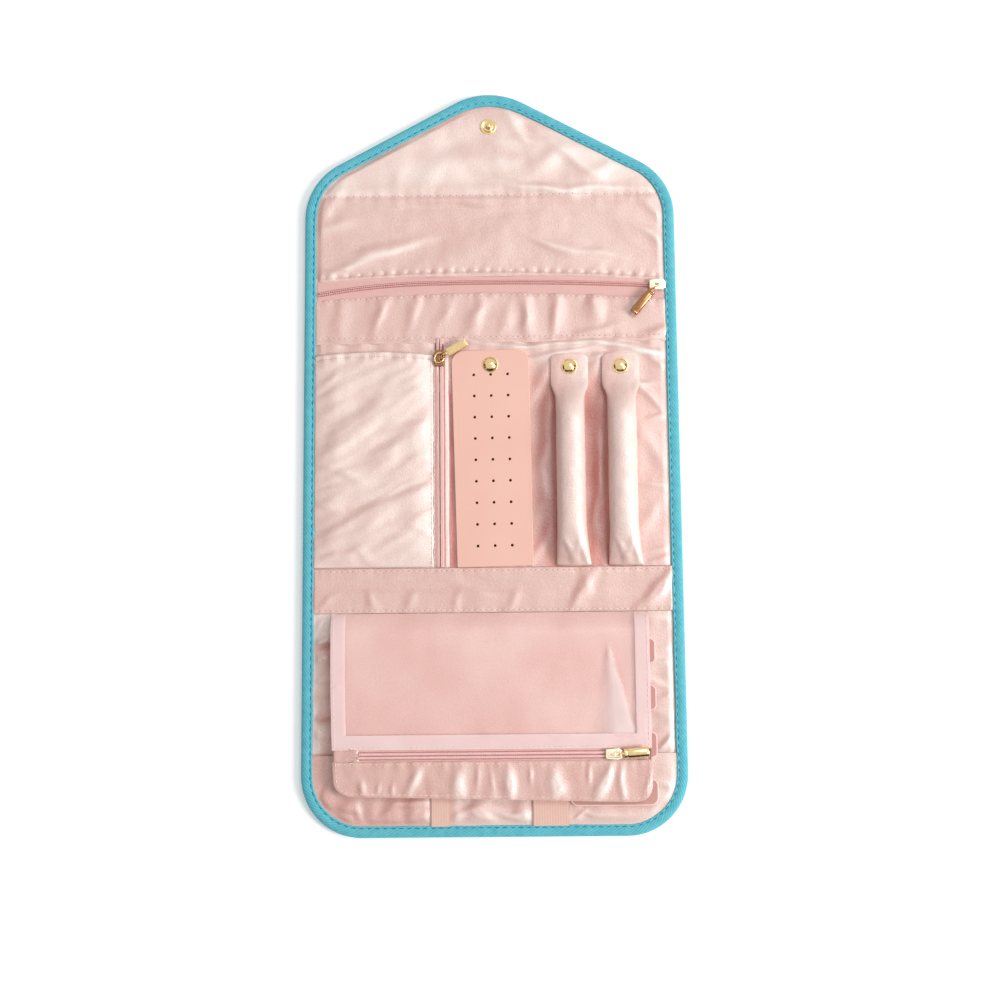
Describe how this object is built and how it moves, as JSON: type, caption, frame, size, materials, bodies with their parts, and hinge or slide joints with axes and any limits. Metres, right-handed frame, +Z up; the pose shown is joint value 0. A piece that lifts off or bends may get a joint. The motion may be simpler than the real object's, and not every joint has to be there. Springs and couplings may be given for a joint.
{
  "type": "travel jewelry bag",
  "caption": "Tri-fold travel jewellery organiser lying open, with zip and slip pockets, an earring card, ring rolls, a clear pocket page and a snap flap.",
  "frame": {"origin": "under the middle of the open bag, on the surface it lies on", "axes": "+Y along the bag towards the pointed flap, +Z up out of the lining, +X to the right"},
  "size_m": [0.22, 0.438, 0.0176],
  "materials": {
    "outer_fabric": "plain woven turquoise cloth over foam, matt",
    "binding_fabric": "ribbed turquoise bias tape, folded over the edge and stitched",
    "foam": "thin foam wadding",
    "satin": "blush pink satin with a soft sheen",
    "zip_tape": "rose pink woven tape with a nylon coil",
    "gold_metal": "bright pale gold plating",
    "leatherette": "smooth pink coated leatherette with a fine grain",
    "elastic": "flat ribbed elastic webbing",
    "clear_vinyl": "soft clear vinyl with a faint haze",
    "hem_tape": "thin translucent pink hem seen through vinyl"
  },
  "bodies": {
    "middle_panel": {"middle_cover": "outer_fabric", "middle_padding": "foam", "middle_lining": "satin", "middle_binding_left": "binding_fabric", "middle_binding_right": "binding_fabric", "slip_pocket_front": "satin", "side_zip_tape_left": "zip_tape", "side_zip_tape_right": "zip_tape", "earring_card_snap_stud": "gold_metal", "ring_roll_left_snap_stud": "gold_metal", "ring_roll_right_snap_stud": "gold_metal"},
    "upper_spine": {"upper_spine_cover": "outer_fabric", "upper_spine_padding": "foam", "upper_spine_lining": "satin", "upper_spine_binding_left": "binding_fabric", "upper_spine_binding_right": "binding_fabric", "upper_band": "satin", "top_zip_tape_left": "zip_tape", "top_zip_tape_right": "zip_tape"},
    "top_panel": {"top_panel_cover": "outer_fabric", "top_panel_padding": "foam", "top_panel_lining": "satin", "top_panel_binding": "binding_fabric", "flap_snap_stud": "gold_metal"},
    "lower_spine": {"lower_spine_cover": "outer_fabric", "lower_spine_padding": "foam", "lower_spine_lining": "satin", "lower_spine_binding_left": "binding_fabric", "lower_spine_binding_right": "binding_fabric", "lower_band": "satin"},
    "bottom_panel": {"bottom_panel_cover": "outer_fabric", "bottom_panel_padding": "foam", "bottom_panel_lining": "satin", "bottom_panel_binding": "binding_fabric", "bottom_slip_pocket_front": "satin", "necklace_board": "leatherette", "elastic_strap_wide": "elastic", "elastic_strap_narrow": "elastic", "flap_snap_socket": "gold_metal"},
    "clear_pocket": {"clear_pocket_back": "satin", "clear_pocket_window": "clear_vinyl", "clear_pocket_hem": "hem_tape", "clear_pocket_strip": "satin", "clear_pocket_zip_tab": "hem_tape", "pocket_zip_tape_left": "zip_tape", "pocket_zip_tape_right": "zip_tape"},
    "earring_panel": {"earring_card": "leatherette", "earring_card_snap_cap": "gold_metal"},
    "ring_roll_left": {"ring_roll_left": "satin", "ring_roll_left_snap_cap": "gold_metal"},
    "ring_roll_right": {"ring_roll_right": "satin", "ring_roll_right_snap_cap": "gold_metal"},
    "top_zip_slider": {"top_zip_slider": "gold_metal"},
    "top_zip_puller": {"top_zip_puller": "gold_metal"},
    "side_zip_slider": {"side_zip_slider": "gold_metal"},
    "side_zip_puller": {"side_zip_puller": "gold_metal"},
    "pocket_zip_slider": {"pocket_zip_slider": "gold_metal"},
    "pocket_zip_puller": {"pocket_zip_puller": "gold_metal"}
  },
  "joints": [
    {"name": "upper_fold", "type": "hinge", "parent": "middle_panel", "child": "upper_spine", "pos_m": [0, 0.069, 0.0046], "axis": [1, 0, 0], "range_deg": [0, 90]},
    {"name": "flap_fold", "type": "hinge", "parent": "upper_spine", "child": "top_panel", "pos_m": [0, 0.106, 0.0046], "axis": [1, 0, 0], "range_deg": [0, 93]},
    {"name": "lower_fold", "type": "hinge", "parent": "middle_panel", "child": "lower_spine", "pos_m": [0, -0.0665, 0.0046], "axis": [-1, 0, 0], "range_deg": [0, 90]},
    {"name": "bottom_fold", "type": "hinge", "parent": "lower_spine", "child": "bottom_panel", "pos_m": [0, -0.0925, 0.0046], "axis": [-1, 0, 0], "range_deg": [0, 90]},
    {"name": "clear_pocket_turn", "type": "hinge", "parent": "bottom_panel", "child": "clear_pocket", "pos_m": [-0.0015, -0.0928, 0.0046], "axis": [1, 0, 0], "range_deg": [-90, 0]},
    {"name": "earring_card_lift", "type": "hinge", "parent": "middle_panel", "child": "earring_panel", "pos_m": [-0.00025, -0.0662, 0.0046], "axis": [-1, 0, 0], "range_deg": [-75, 0]},
    {"name": "ring_roll_left_lift", "type": "hinge", "parent": "middle_panel", "child": "ring_roll_left", "pos_m": [0.046, -0.0662, 0.0046], "axis": [-1, 0, 0], "range_deg": [-75, 0]},
    {"name": "ring_roll_right_lift", "type": "hinge", "parent": "middle_panel", "child": "ring_roll_right", "pos_m": [0.076, -0.0662, 0.0046], "axis": [-1, 0, 0], "range_deg": [-75, 0]},
    {"name": "top_zip_run", "type": "slide", "parent": "upper_spine", "child": "top_zip_slider", "axis": [1, 0, 0], "range_m": [-0.189, 0]},
    {"name": "top_zip_puller_tilt", "type": "hinge", "parent": "top_zip_slider", "child": "top_zip_puller", "pos_m": [0.09654, 0.09674, 0.00805], "axis": [0.766, -0.6428, 0], "range_deg": [-100, 0]},
    {"name": "side_zip_run", "type": "slide", "parent": "middle_panel", "child": "side_zip_slider", "axis": [0, 1, 0], "range_m": [-0.1145, 0]},
    {"name": "side_zip_puller_tilt", "type": "hinge", "parent": "side_zip_slider", "child": "side_zip_puller", "pos_m": [-0.02693, 0.0583, 0.00805], "axis": [-0.5, 0.866, 0], "range_deg": [-100, 0]},
    {"name": "pocket_zip_run", "type": "slide", "parent": "clear_pocket", "child": "pocket_zip_slider", "axis": [1, 0, 0], "range_m": [-0.135, 0]},
    {"name": "pocket_zip_puller_tilt", "type": "hinge", "parent": "pocket_zip_slider", "child": "pocket_zip_puller", "pos_m": [0.07109, -0.17275, 0.01425], "axis": [-0.0698, 0.9976, 0], "range_deg": [-100, 0]}
  ],
  "couplings": [
    {"joint": "flap_fold", "follows": "upper_fold", "ratio": 1.0333},
    {"joint": "bottom_fold", "follows": "lower_fold", "ratio": 1}
  ]
}
